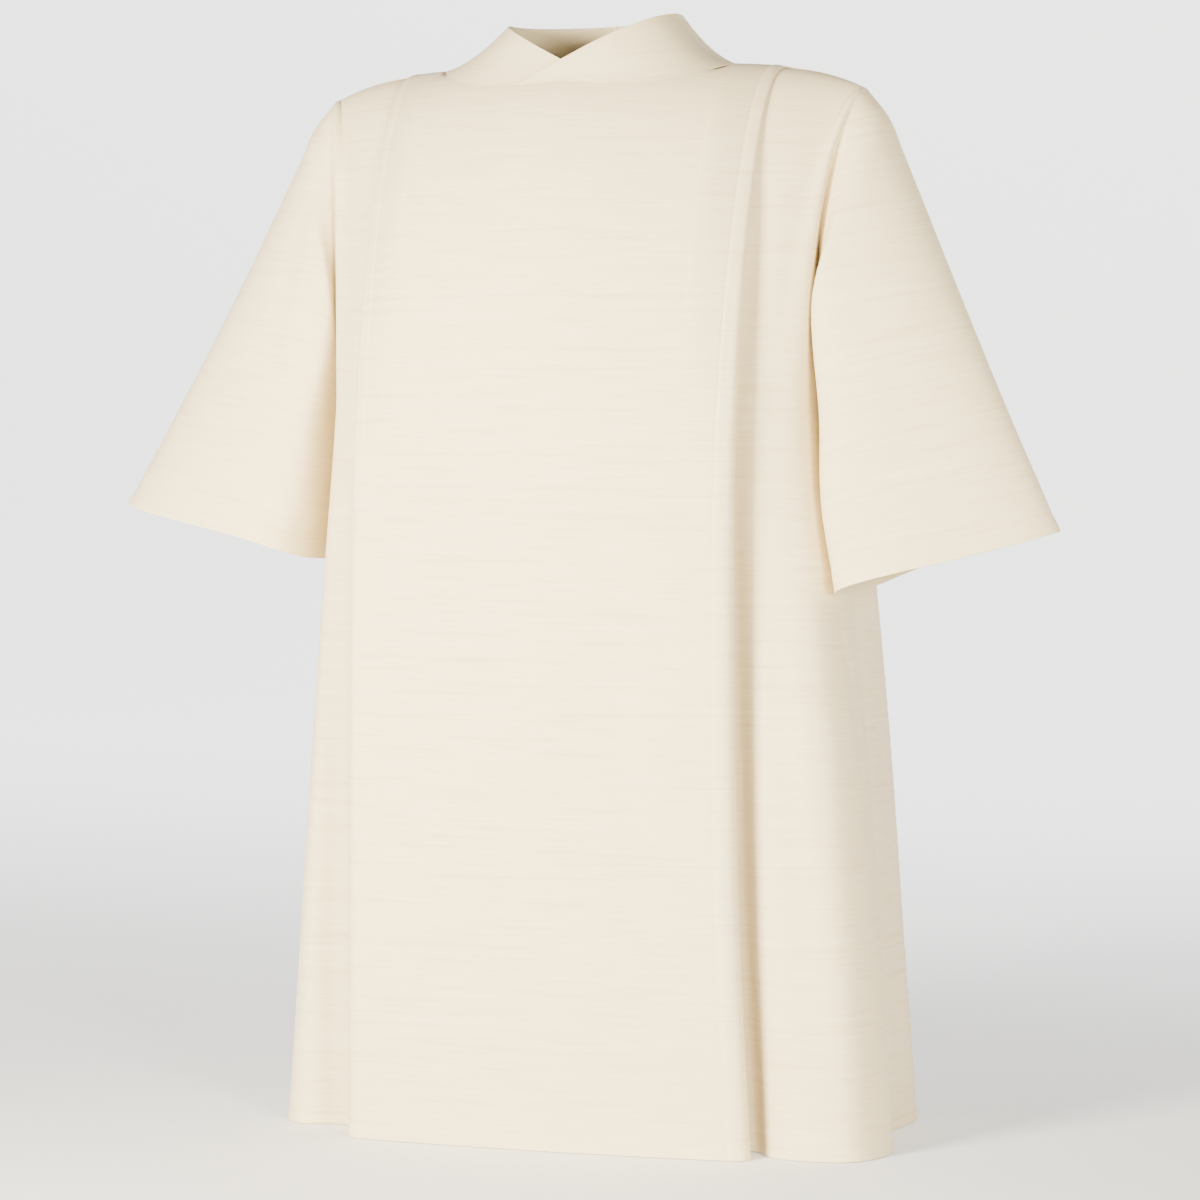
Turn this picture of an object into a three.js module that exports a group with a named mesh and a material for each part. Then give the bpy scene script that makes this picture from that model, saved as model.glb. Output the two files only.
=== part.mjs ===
// A wide-sleeved alb, filled out as if worn: a pleated front, a plain back,
// two short open sleeves and a funnel collar in two halves that cross in front,
// each cut and sewn on.
// Millimetres. +Z is up, +X is the wearer's left, the front faces -Y.
// The origin is the middle of the neck, at the height where neck meets shoulder.

import * as THREE from "three";

// ---- Driving dimensions ----

const WALL = 1.6;
const COLLAR_SEAM_GAP = 1.2;
const COLLAR_BACK_SEAM_GAP = 0.4;
const ARMHOLE_SEAM_GAP = 0.75;
const BODY_SEAM_GAP = 0.9;
const HEM_Z = -1110;

const NECK_HALF_WIDTH = 158;
const NECK_FRONT = 115;
const NECK_BACK = 88;
const NECK_SQUARENESS = 2.5;
const NECK_RISE_FRONT = 15;
const NECK_RISE_BACK = 12;
const NECK_ANGLES = [0, 5, 11, 18, 26, 35, 45, 56, 68, 80, 90];
const SHOULDER_Y = -10;
const SHOULDER_TIP_X = 290;
const SHOULDER_DROP = 27;
const SHOULDER_SLOPE_DROP = 4;
const SHOULDER_CURVE = 2.6;

const COLLAR_TOP_HALF_WIDTH = 92;
const COLLAR_TOP_FRONT = 75;
const COLLAR_TOP_BACK = 68;
const COLLAR_RIM_Z = 49.5;
const COLLAR_RIM_TILT = 3.7;
const COLLAR_CROSS_X = -2;
const COLLAR_CROSS_Z = 2;
const COLLAR_LAP = 3.2;
const COLLAR_LAP_LIFT = 0.6;
const COLLAR_LAP_EASE_DEGREES = 40;
const COLLAR_FLARE = 2;
const COLLAR_FRONT_FLARE_LOSS = 0.8;
const COLLAR_LEAST_RISE = 2;
const COLLAR_SLOPE_STEP = 2;
const COLLAR_FIT_STEPS = 20;
const COLLAR_ROWS = 6;
const COLLAR_OVER_END = -18;
const COLLAR_UNDER_END = 26;

const PANEL_ROUNDING_DROP = 500;
const SIDE_ROUNDING_DROP = 260;
const BACK_ROUNDING_DROP = 330;
const ROUNDED_ROWS = 9;
const HANGING_ROWS = 6;
const ARMHOLE_STEPS = 12;
const FOLD_TURN_STEPS = 4;

// Where extra columns stand: on the panel's edge outside the neck, on the side
// front's shoulder seam as shares of its width, and on the back's shoulder seam.
const PANEL_EDGE_DISTANCES = [170, 185];
const SIDE_SHOULDER_SHARES = [0.06, 0.12, 0.18, 0.24];
const BACK_SHOULDER_DISTANCES = [175, 195, 217, 240, 265];

// The front panel and the two knife pleats that stand under its edges, by level.
// half: centre to fold, depth: fold in front of the neck, crown: how far the
// middle stands before the fold, mouth: panel to side front, tuck: pleat width.
const PANEL_LEVELS = [
  { z: 0, half: 204, depth: 176, crown: 30, mouth: 8, tuck: 30 },
  { z: -120, half: 204, depth: 181, crown: 30, mouth: 16, tuck: 40 },
  { z: -305, half: 204, depth: 190, crown: 25, mouth: 28, tuck: 50 },
  { z: -543, half: 205, depth: 198, crown: 20, mouth: 38, tuck: 54 },
  { z: -851, half: 209, depth: 196, crown: 14, mouth: 44, tuck: 56 },
  { z: -1110, half: 217, depth: 179, crown: 10, mouth: 42, tuck: 56 },
];

// Side fronts, from the pleat mouth round the side fold to the side seam.
// Each row is one level; x and y of: brow (flat part), crest (before the fold),
// fold (the rounded corner), hollow (behind it) and seam.
const LEFT_SIDE_LEVELS = [
  { z: -350, browX: 232, browY: -140, crestX: 248, crestY: -124, foldX: 255, foldY: -104,
    hollowX: 260, hollowY: -50, seamX: 262, seamY: 5 },
  { z: -710, browX: 250, browY: -160, crestX: 290, crestY: -141, foldX: 309, foldY: -92,
    hollowX: 301, hollowY: -32, seamX: 285, seamY: 6 },
  { z: -1110, browX: 262, browY: -157, crestX: 318, crestY: -148, foldX: 342, foldY: -92,
    hollowX: 324, hollowY: -28, seamX: 303, seamY: 8 },
];
const RIGHT_SIDE_LEVELS = [
  { z: -350, browX: 232, browY: -138, crestX: 248, crestY: -122, foldX: 255, foldY: -102,
    hollowX: 259, hollowY: -50, seamX: 262, seamY: 5 },
  { z: -710, browX: 244, browY: -126, crestX: 272, crestY: -121, foldX: 289, foldY: -92,
    hollowX: 291, hollowY: -36, seamX: 281, seamY: 6 },
  { z: -1110, browX: 252, browY: -108, crestX: 294, crestY: -115, foldX: 317, foldY: -94,
    hollowX: 312, hollowY: -30, seamX: 298, seamY: 8 },
];
// The share of the side front's width that starts on the shoulder seam.
const SHOULDER_SHARE = 0.3;

// How square the cloth turns from shoulder to chest, and to the shoulder blades:
// 2 is a quarter ellipse. By distance from the middle.
const TURN_SQUARENESS = [
  { x: 0, front: 3, back: 3.2 },
  { x: 158, front: 2.6, back: 2.6 },
  { x: 204, front: 2.05, back: 2.4 },
  { x: 290, front: 2, back: 2 },
];

// The back, from its middle to the side seam, by level. x and y of: middle,
// blade (flat part), crest and fold (the rounded corner) and hollow.
const BACK_LEVELS = [
  { z: -350, middleY: 150, bladeX: 140, bladeY: 148, crestX: 225, crestY: 128,
    foldX: 257, foldY: 86, hollowX: 263, hollowY: 44 },
  { z: -710, middleY: 168, bladeX: 150, bladeY: 166, crestX: 248, crestY: 146,
    foldX: 289, foldY: 104, hollowX: 291, hollowY: 50 },
  { z: -1110, middleY: 186, bladeX: 160, bladeY: 184, crestX: 266, crestY: 168,
    foldX: 312, foldY: 128, hollowX: 312, hollowY: 60 },
];
const BACK_ARMHOLE_SHARE = 0.5;
const BACK_FLUTES = 3;
const BACK_FLUTE_DEPTH = 13;
const BACK_FLUTES_START_Z = -260;
const FLUTE_FADE_POWER = 4;

// Left sleeve rings from armhole to cuff. outer: the fold along the top of the
// arm, inner: the underarm line, front and back: half depths, lap: how far the
// front leans in toward the body, soft and crisp: how full the ring is near its
// inner and its outer fold.
const SLEEVE_RINGS = [
  { at: 0, outerX: 290, outerY: -10, outerZ: -27, innerX: 264, innerY: 5, innerZ: -330,
    front: 64, back: 80, lap: 14, soft: 0.5, crisp: 0.5 },
  { at: 0.05, outerX: 313, outerY: -11, outerZ: -54, innerX: 268, innerY: 5, innerZ: -340,
    front: 86, back: 87, lap: 22, soft: 0.46, crisp: 0.58 },
  { at: 0.12, outerX: 328, outerY: -12, outerZ: -86, innerX: 271, innerY: 4, innerZ: -354,
    front: 104, back: 94, lap: 36, soft: 0.42, crisp: 0.64 },
  { at: 0.42, outerX: 391, outerY: -30, outerZ: -224, innerX: 272, innerY: -2, innerZ: -410,
    front: 110, back: 98, lap: 32, soft: 0.36, crisp: 0.66 },
  { at: 0.74, outerX: 452, outerY: -52, outerZ: -352, innerX: 278, innerY: -18, innerZ: -480,
    front: 106, back: 100, lap: 40, soft: 0.36, crisp: 0.68 },
  { at: 1, outerX: 510, outerY: -72, outerZ: -468, innerX: 288, innerY: -40, innerZ: -542,
    front: 98, back: 98, lap: 42, soft: 0.38, crisp: 0.7 },
];
// How much lower each sleeve's cuff hangs than the table says, at its folds.
const SLEEVE_HANG = {
  "1": { outer: 10, inner: 1 },
  "-1": { outer: -11, inner: -28 },
};
// How much higher than its folds the middle of each cuff's front and back hangs.
const CUFF_LIFT = {
  "1": { front: -12, back: 14 },
  "-1": { front: -2, back: 0 },
};
const CUFF_LIFT_POWER = 3;
const SLEEVE_ROWS = 10;
const SLEEVE_ROW_CROWDING = 1.25;

const CLOTH = { color: 0xece4d3, roughness: 0.9, metalness: 0 };

// ---- Curves that the pieces share ----

/** A smooth curve through one named column of a table, read at any level. */
function track(rows, key, column) {
  const keys = rows.map((row) => row[key]);
  const values = rows.map((row) => row[column]);
  const rising = keys[keys.length - 1] > keys[0] ? 1 : -1;
  const slopes = values.map((value, i) => {
    const before = Math.max(i - 1, 0);
    const after = Math.min(i + 1, values.length - 1);
    return (values[after] - values[before]) / (keys[after] - keys[before]);
  });
  return (level) => {
    if (rising * (level - keys[0]) <= 0) return values[0];
    if (rising * (level - keys[keys.length - 1]) >= 0) return values[values.length - 1];
    const i = keys.findIndex((_, n) => rising * (keys[n + 1] - level) > 0);
    const span = keys[i + 1] - keys[i];
    const t = (level - keys[i]) / span;
    const bend = t * t * (3 - 2 * t);
    const rise = values[i] + (values[i + 1] - values[i]) * bend;
    const start = slopes[i] * span * t * (1 - t) * (1 - t);
    const end = slopes[i + 1] * span * t * t * (t - 1);
    return rise + start + end;
  };
}

/** Every numeric column of a table as a curve over its key. */
function tracks(rows, key) {
  const names = Object.keys(rows[0]).filter((name) => name !== key);
  return Object.fromEntries(names.map((name) => [name, track(rows, key, name)]));
}

const panel = tracks(PANEL_LEVELS, "z");
const sideFront = { "1": tracks(LEFT_SIDE_LEVELS, "z"), "-1": tracks(RIGHT_SIDE_LEVELS, "z") };
const backForm = tracks(BACK_LEVELS, "z");
const sleeveForm = tracks(SLEEVE_RINGS, "at");
const turnSquareness = tracks(TURN_SQUARENESS, "x");

/** Height of the shoulder line, and of its run across the neck, by distance out. */
function shoulderZ(x, neckRise) {
  const share = (x - NECK_HALF_WIDTH) / (SHOULDER_TIP_X - NECK_HALF_WIDTH);
  if (share < 0) return neckRise * (1 - Math.pow(x / NECK_HALF_WIDTH, 2));
  const curveDrop = SHOULDER_DROP - SHOULDER_SLOPE_DROP;
  return -SHOULDER_SLOPE_DROP * share - curveDrop * Math.pow(share, SHOULDER_CURVE);
}

/** How far the cloth has dropped when it has gone a share of its way outward. */
function dropShare(outShare, squareness) {
  return 1 - Math.pow(1 - Math.pow(outShare, squareness), 1 / squareness);
}

/** Neckline where collar and body meet; angle 0 is the front, 90 the wearer's left. */
function necklinePoint(degrees, shrink = 0) {
  const a = THREE.MathUtils.degToRad(degrees);
  const power = 2 / NECK_SQUARENESS;
  const toFront = Math.cos(a) > 0;
  const depth = (toFront ? NECK_FRONT : NECK_BACK) - shrink;
  const sideways = Math.sign(Math.sin(a)) * Math.pow(Math.abs(Math.sin(a)), power);
  const x = (NECK_HALF_WIDTH - shrink) * sideways;
  const reach = depth * Math.pow(Math.abs(Math.cos(a)), power);
  const out = Math.abs(x);
  const top = PANEL_LEVELS[0];
  const chest = toFront
    ? top.depth + top.crown * (1 - Math.pow(out / top.half, 2))
    : BACK_LEVELS[0].middleY;
  const squareness = toFront ? turnSquareness.front(out) : turnSquareness.back(out);
  const drop = toFront ? PANEL_ROUNDING_DROP : BACK_ROUNDING_DROP;
  const share = reach / (chest + (toFront ? 1 : -1) * SHOULDER_Y);
  const lineZ = shoulderZ(out, toFront ? NECK_RISE_FRONT : NECK_RISE_BACK);
  return new THREE.Vector3(
    x,
    SHOULDER_Y - Math.sign(Math.cos(a)) * reach,
    lineZ - drop * dropShare(share, squareness),
  );
}

/** A sleeve ring at a share of its length; angle 0 is the outer fold, 90 the front. */
function sleevePoint(at, angle, hang = { outer: 0, inner: 0 }) {
  const f = sleeveForm;
  const toInner = (1 - Math.cos(angle)) / 2;
  const soft = f.soft(at);
  const crisp = f.crisp(at);
  const fullest = soft / (soft + crisp);
  const peak = Math.pow(fullest, soft) * Math.pow(1 - fullest, crisp);
  const width = (Math.pow(toInner, crisp) * Math.pow(1 - toInner, soft)) / peak;
  const front = Math.sin(angle) > 0;
  const depth = front ? -f.front(at) : f.back(at);
  const lap = front ? f.lap(at) * width * Math.pow(Math.sin(angle), 2) : 0;
  return new THREE.Vector3(
    THREE.MathUtils.lerp(f.outerX(at), f.innerX(at), toInner) - lap,
    THREE.MathUtils.lerp(f.outerY(at), f.innerY(at), toInner) + depth * width,
    THREE.MathUtils.lerp(
      f.outerZ(at) - at * hang.outer,
      f.innerZ(at) - at * hang.inner,
      toInner,
    ),
  );
}

// ---- Cloth walls ----

/** A wall of even thickness through a grid of points, rows down and columns across. */
function clothWall(grid, round = false) {
  const rows = grid.length;
  const columns = grid[0].length;
  const clamp = THREE.MathUtils.clamp;
  const at = (r, c) => {
    const row = grid[clamp(r, 0, rows - 1)];
    return row[round ? (c + columns) % columns : clamp(c, 0, columns - 1)];
  };
  const outer = [];
  const inner = [];
  for (let r = 0; r < rows; r += 1) {
    for (let c = 0; c < columns; c += 1) {
      const across = new THREE.Vector3().subVectors(at(r, c + 1), at(r, c - 1));
      const down = new THREE.Vector3().subVectors(at(r + 1, c), at(r - 1, c));
      const normal = across.cross(down).normalize().multiplyScalar(WALL / 2);
      outer.push(at(r, c).clone().sub(normal));
      inner.push(at(r, c).clone().add(normal));
    }
  }
  const points = outer.concat(inner);
  const faces = [];
  const quad = (a, b, c, d) => faces.push(a, b, c, a, c, d);
  const front = (r, c) => r * columns + (c % columns);
  const behind = (r, c) => rows * columns + front(r, c);
  const spans = round ? columns : columns - 1;
  for (let r = 0; r < rows - 1; r += 1) {
    for (let c = 0; c < spans; c += 1) {
      quad(front(r, c), front(r + 1, c), front(r + 1, c + 1), front(r, c + 1));
      quad(behind(r, c), behind(r, c + 1), behind(r + 1, c + 1), behind(r + 1, c));
    }
  }
  for (let c = 0; c < spans; c += 1) {
    quad(front(0, c), front(0, c + 1), behind(0, c + 1), behind(0, c));
    quad(front(rows - 1, c), behind(rows - 1, c), behind(rows - 1, c + 1), front(rows - 1, c + 1));
  }
  if (!round) {
    for (let r = 0; r < rows - 1; r += 1) {
      quad(front(r, 0), behind(r, 0), behind(r + 1, 0), front(r + 1, 0));
      quad(front(r, spans), front(r + 1, spans), behind(r + 1, spans), behind(r, spans));
    }
  }
  const geometry = new THREE.BufferGeometry();
  const positions = points.flatMap((point) => point.toArray());
  geometry.setAttribute("position", new THREE.Float32BufferAttribute(positions, 3));
  geometry.setIndex(faces);
  return geometry;
}

/** A named piece of cloth in the garment's one fabric. */
function clothPiece(name, geometry) {
  geometry.computeVertexNormals();
  const material = new THREE.MeshStandardMaterial(CLOTH);
  const mesh = new THREE.Mesh(geometry, material);
  mesh.name = name;
  return mesh;
}

/**
 * One hanging column of cloth: it starts a share of the way round the turn
 * from shoulder to chest, ends the turn within a drop, then follows its
 * section down to the hem. lineZ is the height of the shoulder line above it.
 */
function hangingColumn(top, section, drop, squareness = 2, startShare = 0, lineZ = top.z) {
  const points = [];
  const start = Math.asin(Math.pow(startShare, squareness / 2));
  for (let i = 0; i <= ROUNDED_ROWS; i += 1) {
    const angle = THREE.MathUtils.lerp(start, Math.PI / 2, i / ROUNDED_ROWS);
    const share = i === ROUNDED_ROWS ? 1 : Math.pow(Math.sin(angle), 2 / squareness);
    const out = (share - startShare) / (1 - startShare);
    const z = i === 0 ? top.z : lineZ - drop * dropShare(share, squareness);
    const [x, y] = section(z);
    points.push(new THREE.Vector3(
      THREE.MathUtils.lerp(top.x, x, out),
      THREE.MathUtils.lerp(top.y, y, out),
      z,
    ));
  }
  const chestZ = lineZ - drop;
  for (let i = 1; i <= HANGING_ROWS; i += 1) {
    const z = THREE.MathUtils.lerp(chestZ, HEM_Z, i / HANGING_ROWS);
    const [x, y] = section(z);
    points.push(new THREE.Vector3(x, y, z));
  }
  return points;
}

/** A smooth open curve through places on one level. */
function curveThrough(places) {
  const points = places.map(([x, y]) => new THREE.Vector3(x, y, 0));
  return new THREE.CatmullRomCurve3(points, false, "centripetal");
}

/** Columns of points turned into rows of points. */
function rowsOf(columns) {
  return columns[0].map((_, r) => columns.map((column) => column[r]));
}

// ---- Front ----

/** The column that starts on the neckline, or past it on the shoulder seam. */
function columnFromTop(x, towardBack, section, layerSink = 0) {
  const seamY = SHOULDER_Y + (towardBack ? BODY_SEAM_GAP : -BODY_SEAM_GAP) / 2;
  const drop = towardBack ? BACK_ROUNDING_DROP : PANEL_ROUNDING_DROP;
  const squareness = towardBack ? turnSquareness.back(x) : turnSquareness.front(x);
  if (x >= NECK_HALF_WIDTH) {
    const top = new THREE.Vector3(x, seamY, shoulderZ(x, 0) - layerSink);
    return hangingColumn(top, section, drop, squareness);
  }
  const angle = Math.asin(Math.pow(x / NECK_HALF_WIDTH, NECK_SQUARENESS / 2));
  const degrees = THREE.MathUtils.radToDeg(angle);
  const top = necklinePoint(towardBack ? 180 - degrees : degrees);
  const chestY = section(0)[1];
  const startShare = (top.y - SHOULDER_Y) / (chestY - SHOULDER_Y);
  const lineZ = shoulderZ(x, towardBack ? NECK_RISE_BACK : NECK_RISE_FRONT);
  return hangingColumn(top, section, drop, squareness, startShare, lineZ);
}

/** Distances out at which columns start on the neckline, one for each neck angle. */
function necklineDistances() {
  return NECK_ANGLES.map((degrees) => necklinePoint(degrees).x);
}

/** A place across the pleated panel: distance out, and pleat layer 0, 1 or 2. */
function pleatedPoint(z, place) {
  const layerStep = panel.mouth(z) / 2;
  const turn = layerStep / 2;
  const edge = panel.half(z) - turn;
  const tuckEdge = panel.half(z) - panel.tuck(z) + turn;
  const [x, layer] = place(edge, tuckEdge, turn);
  const crown = panel.crown(z) * Math.max(0, 1 - Math.pow(x / panel.half(z), 2));
  return { x, y: -panel.depth(z) - crown + layer * layerStep, layer };
}

/** Places across one half of the panel and its pleat, from the middle outward. */
function pleatPlaces() {
  const places = [];
  const topEdge = PANEL_LEVELS[0].half - PANEL_LEVELS[0].mouth / 4;
  const flatDistances = necklineDistances().concat(PANEL_EDGE_DISTANCES, topEdge);
  for (const distance of flatDistances) {
    places.push((edge) => [(edge * distance) / topEdge, 0]);
  }
  for (let i = 1; i <= FOLD_TURN_STEPS; i += 1) {
    const a = (Math.PI * i) / FOLD_TURN_STEPS;
    places.push((edge, tuckEdge, turn) => [edge + turn * Math.sin(a), (1 - Math.cos(a)) / 2]);
  }
  places.push((edge, tuckEdge) => [(edge + tuckEdge) / 2, 1]);
  for (let i = 0; i <= FOLD_TURN_STEPS; i += 1) {
    const a = (Math.PI * i) / FOLD_TURN_STEPS;
    const layer = 1 + (1 - Math.cos(a)) / 2;
    places.push((edge, tuckEdge, turn) => [tuckEdge - turn * Math.sin(a), layer]);
  }
  return places;
}

/** A curve through the side front's named points at one level. */
function sideFrontCurve(z, side) {
  const s = sideFront[side];
  const under = pleatedPoint(z, (edge, tuckEdge) => [tuckEdge, 2]);
  const mouth = pleatedPoint(z, (edge) => [edge, 2]);
  const points = [
    [under.x, under.y],
    [mouth.x, mouth.y],
    [s.browX(z), s.browY(z)],
    [s.crestX(z), s.crestY(z)],
    [s.foldX(z), s.foldY(z)],
    [s.hollowX(z), s.hollowY(z)],
    [s.seamX(z), s.seamY(z) - BODY_SEAM_GAP / 2],
  ];
  return curveThrough(points);
}

/** Where a side-front column starts: first on the shoulder seam, then on the armhole. */
function sideTop(share) {
  if (share < SHOULDER_SHARE) {
    const top = PANEL_LEVELS[0];
    const start = top.half - top.tuck + top.mouth / 4;
    const out = share / SHOULDER_SHARE;
    const x = THREE.MathUtils.lerp(start, SHOULDER_TIP_X, out);
    const sunk = top.mouth * Math.pow(1 - out, 2);
    return new THREE.Vector3(x, SHOULDER_Y - BODY_SEAM_GAP / 2, shoulderZ(x, 0) - sunk);
  }
  return armholeTop((share - SHOULDER_SHARE) / (1 - SHOULDER_SHARE), false);
}

/** A place on the armhole, from the shoulder tip round to the underarm. */
function armholeTop(share, towardBack) {
  const way = towardBack ? 1 : -1;
  const point = sleevePoint(0, -way * Math.PI * share);
  point.y += (way * BODY_SEAM_GAP) / 2;
  return point;
}

/** The columns of one half of the front, from the middle to its side seam. */
function frontHalf(side) {
  const columns = [];
  for (const place of pleatPlaces()) {
    const flat = pleatedPoint(0, place);
    const section = (z) => {
      const p = pleatedPoint(z, place);
      return [p.x, p.y];
    };
    columns.push(columnFromTop(flat.x, false, section, (flat.layer * PANEL_LEVELS[0].mouth) / 2));
  }
  const sideShares = [...SIDE_SHOULDER_SHARES];
  for (let i = 0; i <= ARMHOLE_STEPS; i += 1) {
    sideShares.push(THREE.MathUtils.lerp(SHOULDER_SHARE, 1, i / ARMHOLE_STEPS));
  }
  for (const share of sideShares) {
    const drop = THREE.MathUtils.lerp(PANEL_ROUNDING_DROP, SIDE_ROUNDING_DROP, share);
    const section = (z) => {
      const p = sideFrontCurve(z, side).getPoint(share);
      return [p.x, p.y];
    };
    columns.push(hangingColumn(sideTop(share), section, drop));
  }
  return columns.map((column) => column.map((p) => new THREE.Vector3(side * p.x, p.y, p.z)));
}

function makeFront() {
  const wearersRight = frontHalf(-1).reverse();
  const wearersLeft = frontHalf(1).slice(1);
  return clothPiece("front", clothWall(rowsOf(wearersRight.concat(wearersLeft))));
}

// ---- Back ----

/** A curve through the back's named points at one level, from middle to seam. */
function backCurve(z, side) {
  const b = backForm;
  const s = sideFront[side];
  const points = [
    [0, b.middleY(z)],
    [b.bladeX(z), b.bladeY(z)],
    [b.crestX(z), b.crestY(z)],
    [b.foldX(z), b.foldY(z)],
    [b.hollowX(z), b.hollowY(z)],
    [s.seamX(z), s.seamY(z) + BODY_SEAM_GAP / 2],
  ];
  return curveThrough(points);
}

/** Soft flutes that open toward the hem of the back. */
function fluteDepth(x, z) {
  const open = Math.max(0, (BACK_FLUTES_START_Z - z) / (BACK_FLUTES_START_Z - HEM_Z));
  const across = x / BACK_LEVELS[0].crestX;
  const fade = Math.max(0, 1 - Math.pow(Math.abs(across), FLUTE_FADE_POWER));
  return BACK_FLUTE_DEPTH * open * fade * Math.cos(Math.PI * BACK_FLUTES * across);
}

/** The columns of one half of the back, from the middle to its side seam. */
function backHalf(side) {
  const columns = [];
  const sectionAt = (share) => (z) => {
    const p = backCurve(z, side).getPoint(share);
    return [p.x, p.y + fluteDepth(p.x, z)];
  };
  const topDistances = necklineDistances().concat(BACK_SHOULDER_DISTANCES, SHOULDER_TIP_X);
  for (const x of topDistances) {
    const share = (BACK_ARMHOLE_SHARE * x) / SHOULDER_TIP_X;
    columns.push(columnFromTop(x, true, sectionAt(share)));
  }
  for (let i = 1; i <= ARMHOLE_STEPS; i += 1) {
    const round = i / ARMHOLE_STEPS;
    const share = THREE.MathUtils.lerp(BACK_ARMHOLE_SHARE, 1, round);
    const drop = THREE.MathUtils.lerp(BACK_ROUNDING_DROP, SIDE_ROUNDING_DROP, round);
    columns.push(hangingColumn(armholeTop(round, true), sectionAt(share), drop));
  }
  return columns.map((column) => column.map((p) => new THREE.Vector3(side * p.x, p.y, p.z)));
}

function makeBack() {
  const wearersLeft = backHalf(1).reverse();
  const wearersRight = backHalf(-1).slice(1);
  return clothPiece("back", clothWall(rowsOf(wearersLeft.concat(wearersRight))));
}

// ---- Sleeves ----

function makeSleeve(name, side) {
  const grid = [];
  for (let r = 0; r <= SLEEVE_ROWS; r += 1) {
    const at = Math.pow(r / SLEEVE_ROWS, SLEEVE_ROW_CROWDING);
    const ring = [];
    for (let c = 0; c < 2 * ARMHOLE_STEPS; c += 1) {
      const angle = (-side * Math.PI * c) / ARMHOLE_STEPS;
      const point = sleevePoint(at, angle, SLEEVE_HANG[side]);
      const lift = Math.sin(angle) > 0 ? CUFF_LIFT[side].front : CUFF_LIFT[side].back;
      point.z += lift * Math.pow(Math.sin(angle), 2) * Math.pow(at, CUFF_LIFT_POWER);
      const clearance = ARMHOLE_SEAM_GAP + WALL * Math.min(1, 1 - Math.cos(angle));
      const seam = r === 0 ? clearance : 0;
      ring.push(new THREE.Vector3(side * (point.x + seam), point.y, point.z));
    }
    grid.push(ring);
  }
  return clothPiece(name, clothWall(grid, true));
}

// ---- Collar ----

/** Height of the collar's rim, which tilts up toward the wearer's left. */
function collarRimZ(degrees) {
  return COLLAR_RIM_Z + COLLAR_RIM_TILT * Math.sin(THREE.MathUtils.degToRad(degrees));
}

/** Height of the collar's top edge: level with the rim beside and behind the neck. */
function collarEdgeZ(x, degrees, crossesOver) {
  if (Math.abs(degrees) >= 90) return collarRimZ(degrees);
  const peakX = crossesOver ? COLLAR_TOP_HALF_WIDTH : -COLLAR_TOP_HALF_WIDTH;
  const peakZ = collarRimZ(crossesOver ? 90 : -90);
  const slope = (peakZ - COLLAR_CROSS_Z) / (peakX - COLLAR_CROSS_X);
  return Math.min(collarRimZ(degrees), COLLAR_CROSS_Z + slope * (x - COLLAR_CROSS_X));
}

/** One upright line of the collar, from its cut top edge down to its base. */
function collarColumn(degrees, crossesOver) {
  const a = THREE.MathUtils.degToRad(degrees);
  const base = necklinePoint(degrees, COLLAR_SEAM_GAP);
  const outside = necklinePoint(degrees, -COLLAR_SLOPE_STEP);
  const depth = Math.cos(a) > 0 ? COLLAR_TOP_FRONT : COLLAR_TOP_BACK;
  const rim = new THREE.Vector3(
    COLLAR_TOP_HALF_WIDTH * Math.sin(a),
    SHOULDER_Y - depth * Math.cos(a),
    collarRimZ(degrees),
  );
  const bodySlope = (base.z - outside.z) / Math.hypot(base.x - outside.x, base.y - outside.y);
  const startRise = bodySlope * Math.hypot(rim.x - base.x, rim.y - base.y);
  const flare = COLLAR_FLARE - COLLAR_FRONT_FLARE_LOSS * Math.pow(Math.max(0, Math.cos(a)), 2);
  const surface = (share) => new THREE.Vector3(
    THREE.MathUtils.lerp(base.x, rim.x, share),
    THREE.MathUtils.lerp(base.y, rim.y, share),
    base.z + startRise * share + (rim.z - base.z - startRise) * Math.pow(share, flare),
  );
  let low = 0;
  let cut = 1;
  for (let i = 0; i < COLLAR_FIT_STEPS; i += 1) {
    const middle = (low + cut) / 2;
    const point = surface(middle);
    const edge = collarEdgeZ(point.x, degrees, crossesOver);
    if (point.z < Math.max(edge, base.z + COLLAR_LEAST_RISE)) {
      low = middle;
    } else {
      cut = middle;
    }
  }
  const outward = crossesOver && Math.abs(degrees) < 90 ? COLLAR_LAP : 0;
  const ease = Math.min(1, (90 - Math.abs(degrees)) / COLLAR_LAP_EASE_DEGREES);
  const lift = new THREE.Vector3(Math.sin(a), -Math.cos(a), COLLAR_LAP_LIFT);
  lift.multiplyScalar(outward * ease);
  const column = [];
  for (let r = COLLAR_ROWS; r >= 0; r -= 1) {
    column.push(surface((cut * r) / COLLAR_ROWS).add(lift));
  }
  return column;
}

/** One half of the collar, from its crossing end round to the centre back. */
function makeCollarHalf(name, crossesOver) {
  const side = crossesOver ? 1 : -1;
  const lapEnd = crossesOver ? -COLLAR_OVER_END : COLLAR_UNDER_END;
  const quarter = NECK_ANGLES.slice(1);
  const lap = quarter.filter((turn) => turn <= lapEnd).map((turn) => -turn);
  const backQuarter = NECK_ANGLES.slice(0, -1).map((turn) => 180 - turn);
  const turns = [...lap, 0, ...quarter, ...backQuarter];
  const degrees = turns.map((turn) => side * turn).sort((a, b) => a - b);
  const columns = degrees.map((angle) => collarColumn(angle, crossesOver));
  const backEdge = columns[crossesOver ? columns.length - 1 : 0];
  for (const point of backEdge) {
    point.x = (side * COLLAR_BACK_SEAM_GAP) / 2;
  }
  return clothPiece(name, clothWall(rowsOf(columns)));
}

const group = new THREE.Group();
group.add(makeFront());
group.add(makeBack());
group.add(makeSleeve("sleeve_left", 1));
group.add(makeSleeve("sleeve_right", -1));
group.add(makeCollarHalf("collar_left", true));
group.add(makeCollarHalf("collar_right", false));

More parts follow.
